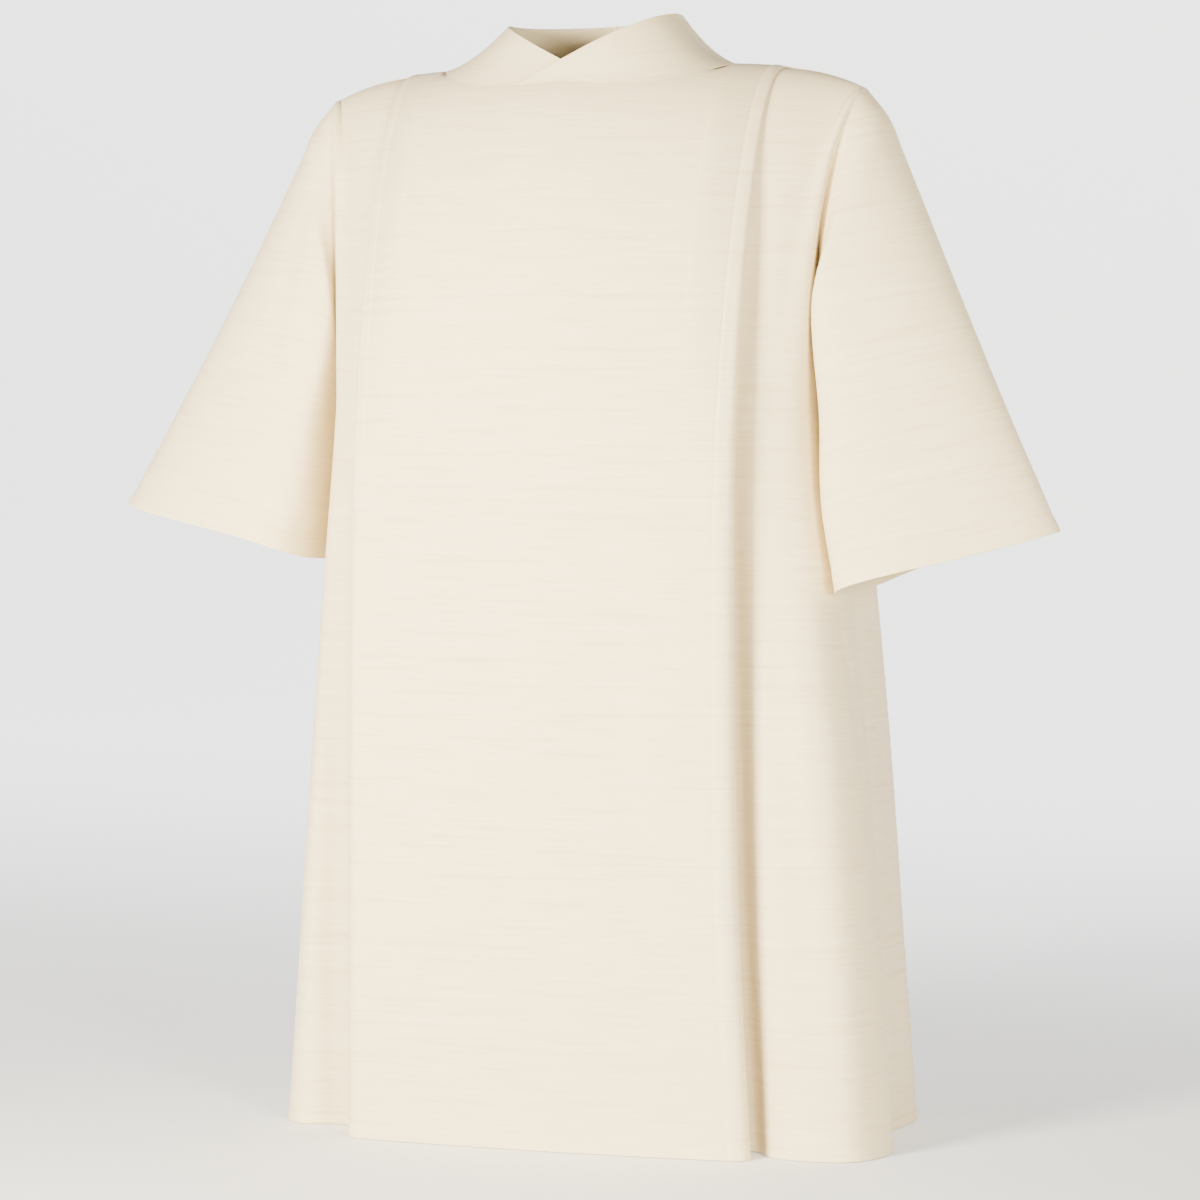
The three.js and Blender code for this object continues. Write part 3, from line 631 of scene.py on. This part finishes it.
def fold_form(across, column):
    """The stitched edge of a pleat's fold: a sunk line and a fuller strip outside it."""
    out = (across - across[:, column][:, None]) * np.sign(across[:, column].mean())
    strip = FOLD_BULGE / 2 * (1 + np.tanh((out - FOLD_BULGE_EDGE) / FOLD_BULGE_SOFTNESS))
    strip = np.where(out < FOLD_STITCH_INSET, strip, 0)
    return strip - STITCH_SINK * np.exp(-((out / STITCH_LINE_WIDTH) ** 2))


def mouth_form(places, column, side):
    """The soft hollow in the side front behind a pleat's fold, gone at the shoulder."""
    out = (places[0] - places[0][:, column][:, None]) / MOUTH_TROUGH_WIDTH
    open_share = clamp((MOUTH_TROUGH_TOP - places[1]) / MOUTH_TROUGH_RUN)
    return MOUTH_TROUGH[side] * smooth(open_share) * np.exp(-(out**2))


def flat_place(grid, places, point):
    """The place on the flat cloth that lies nearest to a point of the garment."""
    nearest = np.argmin(np.linalg.norm(grid - np.array(point), axis=2))
    return places[0].ravel()[nearest], places[1].ravel()[nearest]


front_stitch_columns = (front_middle - FOLD_STITCH_COLUMN, front_middle + FOLD_STITCH_COLUMN)
front_marks = list(FRONT_CREASES)
for tuck in NECK_TUCKS:
    ends = {end: flat_place(front_grid, front_places, tuck[end]) for end in ("start", "end")}
    front_marks.append({**tuck, **ends})
front_relief = hem_form(front_places[1], HEM_WIDTH) - troughs(*front_places, front_marks)
front_relief += sum(fold_form(front_places[0], column) for column in front_stitch_columns)
for side in (1, -1):
    front_relief -= mouth_form(front_places, front_middle + side * MOUTH_COLUMN, side)
front_grid = front_grid + cloth_normals(front_grid, False) * front_relief[:, :, None]
front = cloth_piece("front_cloth", front_grid, front_places)

# The cloth is a matte cream linen-look weave: fine threads both ways, and
# uneven slubs that run across in its weft.
CREAM = (0.785, 0.663, 0.415, 1)
CREAM_LIGHT = (0.840, 0.738, 0.510, 1)
CREAM_DARK = (0.675, 0.540, 0.305, 1)
CLOTH_ROUGHNESS = 0.88
CLOTH_SPECULAR = 0.25
CLOTH_SHEEN = 0.12
CLOTH_SHEEN_ROUGHNESS = 0.6
WEAVE_BUMP = 0.35
WEAVE_RELIEF = 0.0004
# Streaks per metre across and up, and the detail of each.
STREAKS = {
    "long": (6, 150, 2),
    "weft": (16, 380, 2),
    "fine": (40, 900, 1),
    "warp": (900, 30, 1),
}
# How streaks tint the cloth: the values between which a tint comes in, and the
# most of it that shows.
STREAK_TINTS = [
    dict(streak="weft", low=0.54, high=0.74, most=0.5, tint="Dark slub"),
    dict(streak="weft", low=0.46, high=0.28, most=0.45, tint="Light slub"),
    dict(streak="long", low=0.55, high=0.75, most=0.6, tint="Dark slub"),
    dict(streak="long", low=0.44, high=0.28, most=0.5, tint="Light slub"),
    dict(streak="fine", low=0.58, high=0.8, most=0.15, tint="Dark slub"),
]
STREAK_HEIGHTS = {"fine": 0.5, "warp": 0.3, "weft": 0.8}


def weave_group():
    """Colour and height of a slubby plain weave, read on the flat cloth."""
    group = bpy.data.node_groups.new("linen weave", "ShaderNodeTree")
    sockets = group.interface
    sockets.new_socket("Place", in_out="INPUT", socket_type="NodeSocketVector")
    for name in ("Cloth", "Light slub", "Dark slub"):
        sockets.new_socket(name, in_out="INPUT", socket_type="NodeSocketColor")
    sockets.new_socket("Color", in_out="OUTPUT", socket_type="NodeSocketColor")
    sockets.new_socket("Height", in_out="OUTPUT", socket_type="NodeSocketFloat")
    nodes, links = group.nodes, group.links
    given = nodes.new("NodeGroupInput")
    made = nodes.new("NodeGroupOutput")

    def streaks(scale_across, scale_up, detail):
        stretch = nodes.new("ShaderNodeMapping")
        stretch.inputs["Scale"].default_value = (scale_across, scale_up, 1)
        links.new(given.outputs["Place"], stretch.inputs["Vector"])
        noise = nodes.new("ShaderNodeTexNoise")
        noise.inputs["Scale"].default_value = 1
        noise.inputs["Detail"].default_value = detail
        links.new(stretch.outputs["Vector"], noise.inputs["Vector"])
        return noise.outputs["Fac"]

    def spread(value, low, high, most):
        ramp = nodes.new("ShaderNodeMapRange")
        for socket, number in (("From Min", low), ("From Max", high), ("To Max", most)):
            ramp.inputs[socket].default_value = number
        links.new(value, ramp.inputs["Value"])
        return ramp.outputs["Result"]

    def blend(share, a, b):
        node = nodes.new("ShaderNodeMix")
        node.data_type = "RGBA"
        links.new(share, node.inputs["Factor"])
        links.new(a, node.inputs["A"])
        links.new(b, node.inputs["B"])
        return node.outputs["Result"]

    def join(operation, a, b):
        node = nodes.new("ShaderNodeMath")
        node.operation = operation
        for socket, value in zip(node.inputs, (a, b)):
            if isinstance(value, (int, float)):
                socket.default_value = value
            else:
                links.new(value, socket)
        return node.outputs[0]

    streak = {name: streaks(*scales) for name, scales in STREAKS.items()}
    tone = given.outputs["Cloth"]
    for row in STREAK_TINTS:
        share = spread(streak[row["streak"]], row["low"], row["high"], row["most"])
        tone = blend(share, tone, given.outputs[row["tint"]])
    links.new(tone, made.inputs["Color"])
    heights = [join("MULTIPLY", streak[name], most) for name, most in STREAK_HEIGHTS.items()]
    height = heights[0]
    for added in heights[1:]:
        height = join("ADD", height, added)
    links.new(height, made.inputs["Height"])
    return group


linen_weave = weave_group()


def cloth_material(name):
    """The garment's one cloth."""
    cloth = bpy.data.materials.new(name)
    cloth.use_nodes = True
    nodes, links = cloth.node_tree.nodes, cloth.node_tree.links
    shader = nodes["Principled BSDF"]
    shader.inputs["Roughness"].default_value = CLOTH_ROUGHNESS
    shader.inputs["Specular IOR Level"].default_value = CLOTH_SPECULAR
    shader.inputs["Sheen Weight"].default_value = CLOTH_SHEEN
    shader.inputs["Sheen Roughness"].default_value = CLOTH_SHEEN_ROUGHNESS
    cloth_map = nodes.new("ShaderNodeUVMap")
    cloth_map.uv_map = "cloth"
    weave = nodes.new("ShaderNodeGroup")
    weave.node_tree = linen_weave
    weave.inputs["Cloth"].default_value = CREAM
    weave.inputs["Light slub"].default_value = CREAM_LIGHT
    weave.inputs["Dark slub"].default_value = CREAM_DARK
    bump = nodes.new("ShaderNodeBump")
    bump.inputs["Strength"].default_value = WEAVE_BUMP
    bump.inputs["Distance"].default_value = WEAVE_RELIEF
    links.new(cloth_map.outputs["UV"], weave.inputs["Place"])
    links.new(weave.outputs["Color"], shader.inputs["Base Color"])
    links.new(weave.outputs["Height"], bump.inputs["Height"])
    links.new(bump.outputs["Normal"], shader.inputs["Normal"])
    return cloth


vestment_linen = cloth_material("vestment_linen")

STITCH_PITCH = 0.0036
STITCH_LENGTH = 0.0028
STITCH_THICKNESS = 0.0005
# Each stitch is a slim eight-sided sliver: its two ends, its two sides, and its
# middle on the face and under it.
STITCH_FACES = (
    (0, 2, 4), (2, 1, 4), (1, 3, 4), (3, 0, 4), (2, 0, 5), (1, 2, 5), (3, 1, 5), (0, 3, 5),
)
THREAD_COLOUR = (0.820, 0.695, 0.430, 1)
THREAD_ROUGHNESS = 0.6
thread = bpy.data.materials.new("sewing_thread")
thread.use_nodes = True
thread_shader = thread.node_tree.nodes["Principled BSDF"]
thread_shader.inputs["Base Color"].default_value = THREAD_COLOUR
thread_shader.inputs["Roughness"].default_value = THREAD_ROUGHNESS


def level_line(grid, up, levels):
    """Places where every column of a grid of cloth reaches its level above the hem."""
    line = []
    for c in range(grid.shape[1]):
        r = int(np.clip(np.searchsorted(-up[:, c], -levels[c]), 1, len(grid) - 1))
        t = (up[r - 1, c] - levels[c]) / max(up[r - 1, c] - up[r, c], TINY)
        line.append(mix(grid[r - 1, c], grid[r, c], clamp(t)))
    return np.array(line)


def sew_rows(name, rows):
    """Rows of stitches on the face of the cloth; each row is (places, outward)."""
    points, faces = [], []
    for line, outward in rows:
        steps = np.linalg.norm(np.diff(line, axis=0), axis=1)
        along = np.concatenate([[0], np.cumsum(steps)])

        def at(distance, values):
            return np.array([np.interp(distance, along, values[:, k]) for k in range(3)])

        for n in range(int((along[-1] - STITCH_PITCH) / STITCH_PITCH)):
            begun = (n + 0.5) * STITCH_PITCH
            start, end = at(begun, line), at(begun + STITCH_LENGTH, line)
            up = at(begun, outward)
            up /= np.linalg.norm(up)
            side = np.cross(end - start, up)
            side *= STITCH_THICKNESS / 2 / np.linalg.norm(side)
            to_face = up * WALL / 2
            crest = (start + end) / 2 + to_face
            first = len(points)
            points += [start + to_face, end + to_face, crest - side, crest + side,
                       crest + up * STITCH_THICKNESS / 2, crest - up * STITCH_THICKNESS / 2]
            faces += [[first + corner for corner in face] for face in STITCH_FACES]
    mesh = bpy.data.meshes.new(name)
    mesh.from_pydata([tuple(p) for p in points], [], faces)
    mesh.materials.append(thread)
    stitches = bpy.data.objects.new(name, mesh)
    bpy.context.scene.collection.objects.link(stitches)
    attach(stitches, "root")
    return stitches


def sew_on(piece, node):
    """Dresses one CAD node in its cloth, hangs the piece on the root and hides the CAD part."""
    piece.data.materials.append(vestment_linen)
    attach(piece, "root")
    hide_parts(node)


front_outward = cloth_normals(front_grid, False)


def hem_row(grid, places, outward, width):
    """The row of stitches that holds a turned hem of one width."""
    levels = np.full(grid.shape[1], width)
    return level_line(grid, places[1], levels), level_line(outward, places[1], levels)


front_rows = [hem_row(front_grid, front_places, front_outward, HEM_WIDTH)]
for column in front_stitch_columns:
    front_rows.append((front_grid[:, column], front_outward[:, column]))
front_stitches = sew_rows("front_stitches", front_rows)
sew_on(front, "front")

# ---- Back ----
# One plain width, sewn to the front at the shoulders and sides. It flares to
# the hem in three soft flutes.

BACK_ARMHOLE_SHARE = 0.5
BACK_SHOULDER_COLUMNS = 14
BACK_FLUTES = 3
BACK_FLUTE_DEPTH = 0.013
BACK_FLUTES_START_Z = -0.260
FLUTE_FADE_POWER = 4
BACK_CREASES = [
    dict(start=(-0.14, 0.72), end=(-0.19, 0.10), width=0.018, depth=0.0044, bow=0.007),
    dict(start=(0.02, 0.66), end=(0.05, 0.14), width=0.020, depth=0.0037, bow=-0.006),
    dict(start=(0.17, 0.74), end=(0.21, 0.08), width=0.016, depth=0.0048, bow=-0.005),
    dict(start=(-0.20, 0.98), end=(-0.09, 0.88), width=0.018, depth=0.0031, bow=0.004),
    dict(start=(0.21, 0.97), end=(0.10, 0.86), width=0.016, depth=0.0031, bow=-0.004),
    dict(start=(-0.30, 0.62), end=(-0.33, 0.12), width=0.015, depth=0.0041, bow=-0.004),
]
back_form = tracks(BACK_LEVELS, "z")


def back_section(z, share, side):
    """A place across the back at one level, with its flute."""
    places = [back_form[name](z) for name in ("middle", "blade", "crest", "fold", "hollow")]
    places.append(side_form[side]["seam"](z) + np.array([0, BODY_SEAM_GAP / 2]))
    x, y = curve_point(places, share)
    open_share = max(0, (BACK_FLUTES_START_Z - z) / (BACK_FLUTES_START_Z - HEM_Z))
    out = x / BACK_LEVELS[0]["crest"][0]
    fade = max(0, 1 - abs(out) ** FLUTE_FADE_POWER)
    return x, y + BACK_FLUTE_DEPTH * open_share * fade * math.cos(math.pi * BACK_FLUTES * out)


def back_half(side):
    """The columns of one half of the back, from the middle to its side seam."""
    distances = [neckline_point(90 * i / NECK_COLUMNS)[0] for i in range(NECK_COLUMNS + 1)]
    for i in range(1, BACK_SHOULDER_COLUMNS + 1):
        distances.append(mix(NECK_HALF_WIDTH, SHOULDER_TIP_X, i / BACK_SHOULDER_COLUMNS))
    columns = []
    for x in distances:
        share = BACK_ARMHOLE_SHARE * x / SHOULDER_TIP_X
        columns.append(column_from_top(x, True, lambda z: back_section(z, share, side)))
    for i in range(1, ARMHOLE_COLUMNS + 1):
        turned = i / ARMHOLE_COLUMNS
        share = mix(BACK_ARMHOLE_SHARE, 1, turned)
        drop = mix(BACK_ROUNDING_DROP, SIDE_ROUNDING_DROP, turned)
        top = armhole_top(turned, True)
        columns.append(hanging_column(top, lambda z: back_section(z, share, side), drop))
    return [column * (side, 1, 1) for column in columns]


back_left = back_half(1)[::-1]
back_grid = np.stack(back_left + back_half(-1)[1:], axis=1)
back_places = cloth_places(back_grid, len(back_left) - 1)
back_relief = hem_form(back_places[1], HEM_WIDTH) - troughs(*back_places, BACK_CREASES)
back_grid = back_grid + cloth_normals(back_grid, False) * back_relief[:, :, None]
back = cloth_piece("back_cloth", back_grid, back_places)
back_row = hem_row(back_grid, back_places, cloth_normals(back_grid, False), HEM_WIDTH)
back_stitches = sew_rows("back_stitches", [back_row])
sew_on(back, "back")

# ---- Sleeves ----
# Each is one piece of the same cloth, folded along the top of the arm, joined
# under it and set into the armhole. The open cuff has a wider stitched hem.

ARMHOLE_SEAM_GAP = 0.0002
SLEEVE_ROWS = 64
SLEEVE_HALF_COLUMNS = 44
SLEEVE_ROW_CROWDING = 1.25
CUFF_HEM_WIDTH = 0.020
# How much higher the middle of each cuff's back and front half hangs.
CUFF_BACK_LIFT = {1: 0.014, -1: 0}
CUFF_FRONT_LIFT = {1: -0.012, -1: -0.002}
CUFF_LIFT_POWER = 3
# How much lower each sleeve's cuff hangs at its outer and its inner fold.
SLEEVE_HANG = {1: (0.010, 0.001), -1: (-0.011, -0.028)}
# How much further each sleeve's front leans in toward the body, and the share
# of its length over which it comes to do so.
SLEEVE_LEAN = {1: 0.0145, -1: 0}
SLEEVE_LEAN_RUN = 0.74
SLEEVE_CREASES = [
    dict(start=(0.10, 0.40), end=(0.16, 0.08), width=0.016, depth=0.0022, bow=0.006),
    dict(start=(-0.11, 0.36), end=(-0.15, 0.06), width=0.016, depth=0.0020, bow=-0.006),
    dict(start=(0.21, 0.22), end=(0.17, 0.04), width=0.014, depth=0.0020, bow=0.003),
]


def sleeve_grid(side):
    """Rings of points from the armhole down to the cuff."""
    grid = []
    for r in range(SLEEVE_ROWS + 1):
        at = (r / SLEEVE_ROWS) ** SLEEVE_ROW_CROWDING
        ring = []
        for c in range(2 * SLEEVE_HALF_COLUMNS):
            angle = -side * math.pi * c / SLEEVE_HALF_COLUMNS
            point = sleeve_point(at, angle, SLEEVE_HANG[side])
            in_front = math.sin(angle) > 0
            lift = (CUFF_FRONT_LIFT if in_front else CUFF_BACK_LIFT)[side]
            lean = SLEEVE_LEAN[side] * smooth(clamp(at / SLEEVE_LEAN_RUN)) if in_front else 0
            point[0] -= lean * math.sin(angle) ** 2
            point[2] += lift * math.sin(angle) ** 2 * at**CUFF_LIFT_POWER
            if r == 0:
                point[0] += ARMHOLE_SEAM_GAP
            ring.append(point * (side, 1, 1))
        grid.append(ring)
    return np.array(grid)


for side, name in ((1, "left"), (-1, "right")):
    grid = sleeve_grid(side)
    places = cloth_places(grid, 0)
    relief = hem_form(places[1], CUFF_HEM_WIDTH) - troughs(*places, SLEEVE_CREASES)
    grid = grid + cloth_normals(grid, True) * relief[:, :, None]
    sleeve = cloth_piece(f"sleeve_{name}_cloth", grid, places, closed=True)
    cuff, cuff_outward = hem_row(grid, places, cloth_normals(grid, True), CUFF_HEM_WIDTH)
    cuff, cuff_outward = (np.concatenate([line, line[:1]]) for line in (cuff, cuff_outward))
    sleeve_stitches = sew_rows(f"sleeve_{name}_stitches", [(cuff, cuff_outward)])
    sew_on(sleeve, f"sleeve_{name}")

# ---- Collar ----
# A funnel band in two halves, joined at the centre back and sewn into the
# neckline. It stands a little open, and its left end crosses over its right.

COLLAR_BACK_SEAM_GAP = 0.0002
COLLAR_TOP_HALF_WIDTH = 0.092
COLLAR_TOP_FRONT = 0.075
COLLAR_TOP_BACK = 0.068
COLLAR_RIM_Z = 0.0495
COLLAR_RIM_TILT = 0.0037
COLLAR_CROSS_X = -0.002
COLLAR_CROSS_Z = 0.002
COLLAR_LAP = 0.0032
COLLAR_LAP_LIFT = 0.6
COLLAR_LAP_EASE_DEGREES = 40
COLLAR_LAP_END_DEGREES = 24
COLLAR_FLARE = 2
COLLAR_FRONT_FLARE_LOSS = 0.8
COLLAR_LEAST_RISE = 0.002
COLLAR_OVER_END = -13
COLLAR_UNDER_END = 26
COLLAR_UNDER_SINK = 0.0018
COLLAR_SINK_START = -34
COLLAR_SINK_RUN = 18
COLLAR_SLOPE_STEP = 0.002
COLLAR_FIT_STEPS = 20
COLLAR_ROWS = 18
COLLAR_DEGREE_STEP = 2
COLLAR_STITCH_INSET = 0.006
COLLAR_STITCH_LEAST_HEIGHT = 0.014


def collar_rim_z(degrees):
    """Height of the collar's rim, which tilts up toward the wearer's left."""
    return COLLAR_RIM_Z + COLLAR_RIM_TILT * math.sin(math.radians(degrees))


def collar_edge_z(x, degrees, crosses_over):
    """Height of the collar's top edge: level with the rim beside and behind."""
    if abs(degrees) >= 90:
        return collar_rim_z(degrees)
    peak_x = COLLAR_TOP_HALF_WIDTH if crosses_over else -COLLAR_TOP_HALF_WIDTH
    peak_z = collar_rim_z(90 if crosses_over else -90)
    slope = (peak_z - COLLAR_CROSS_Z) / (peak_x - COLLAR_CROSS_X)
    return min(collar_rim_z(degrees), COLLAR_CROSS_Z + slope * (x - COLLAR_CROSS_X))


def collar_column(degrees, crosses_over):
    """One upright line of the collar, from its cut top edge down to its base."""
    sine, cosine = math.sin(math.radians(degrees)), math.cos(math.radians(degrees))
    base = neckline_point(degrees)
    outside = neckline_point(degrees, -COLLAR_SLOPE_STEP)
    depth = COLLAR_TOP_FRONT if cosine > 0 else COLLAR_TOP_BACK
    rim_x, rim_y = COLLAR_TOP_HALF_WIDTH * sine, SHOULDER_Y - depth * cosine
    rim = np.array([rim_x, rim_y, collar_rim_z(degrees)])
    flare = COLLAR_FLARE - COLLAR_FRONT_FLARE_LOSS * max(0, cosine) ** 2
    body_slope = (base[2] - outside[2]) / np.linalg.norm((base - outside)[:2])
    start_rise = body_slope * np.linalg.norm((rim - base)[:2])
    rest_rise = rim[2] - base[2] - start_rise

    def surface(share):
        x, y = mix(base[:2], rim[:2], share)
        return np.array([x, y, base[2] + start_rise * share + rest_rise * share**flare])

    low, cut = 0, 1
    for _ in range(COLLAR_FIT_STEPS):
        middle = (low + cut) / 2
        x, _, z = surface(middle)
        edge = collar_edge_z(x, degrees, crosses_over)
        if z < max(edge, base[2] + COLLAR_LEAST_RISE):
            low = middle
        else:
            cut = middle
    ease = clamp((90 - abs(degrees)) / COLLAR_LAP_EASE_DEGREES)
    ease *= clamp((degrees - COLLAR_OVER_END) / COLLAR_LAP_END_DEGREES)
    covered = clamp((degrees - COLLAR_SINK_START) / COLLAR_SINK_RUN)
    column = []
    for r in range(COLLAR_ROWS, -1, -1):
        up = r / COLLAR_ROWS
        apart = COLLAR_LAP * smooth(up) * ease if crosses_over else -COLLAR_UNDER_SINK * covered
        shift = np.array([sine, -cosine, COLLAR_LAP_LIFT]) * apart
        column.append(surface(cut * up) + shift)
    return np.array(column)


for side, name, lap_end in ((1, "left", -COLLAR_OVER_END), (-1, "right", COLLAR_UNDER_END)):
    degrees = sorted(side * d for d in [*range(-lap_end, 180, COLLAR_DEGREE_STEP), 180])
    collar_grid = np.stack([collar_column(d, side == 1) for d in degrees], axis=1)
    collar_grid[:, -1 if side == 1 else 0, 0] = side * COLLAR_BACK_SEAM_GAP / 2
    places = cloth_places(collar_grid, 0)
    collar = cloth_piece(f"collar_{name}_cloth", collar_grid, places)
    outward = cloth_normals(collar_grid, False)
    standing = places[1][0] > COLLAR_STITCH_LEAST_HEIGHT
    levels = places[1][0] - COLLAR_STITCH_INSET
    edge_row = [
        level_line(values, places[1], levels)[standing] for values in (collar_grid, outward)
    ]
    collar_stitches = sew_rows(f"collar_{name}_stitches", [edge_row])
    sew_on(collar, f"collar_{name}")
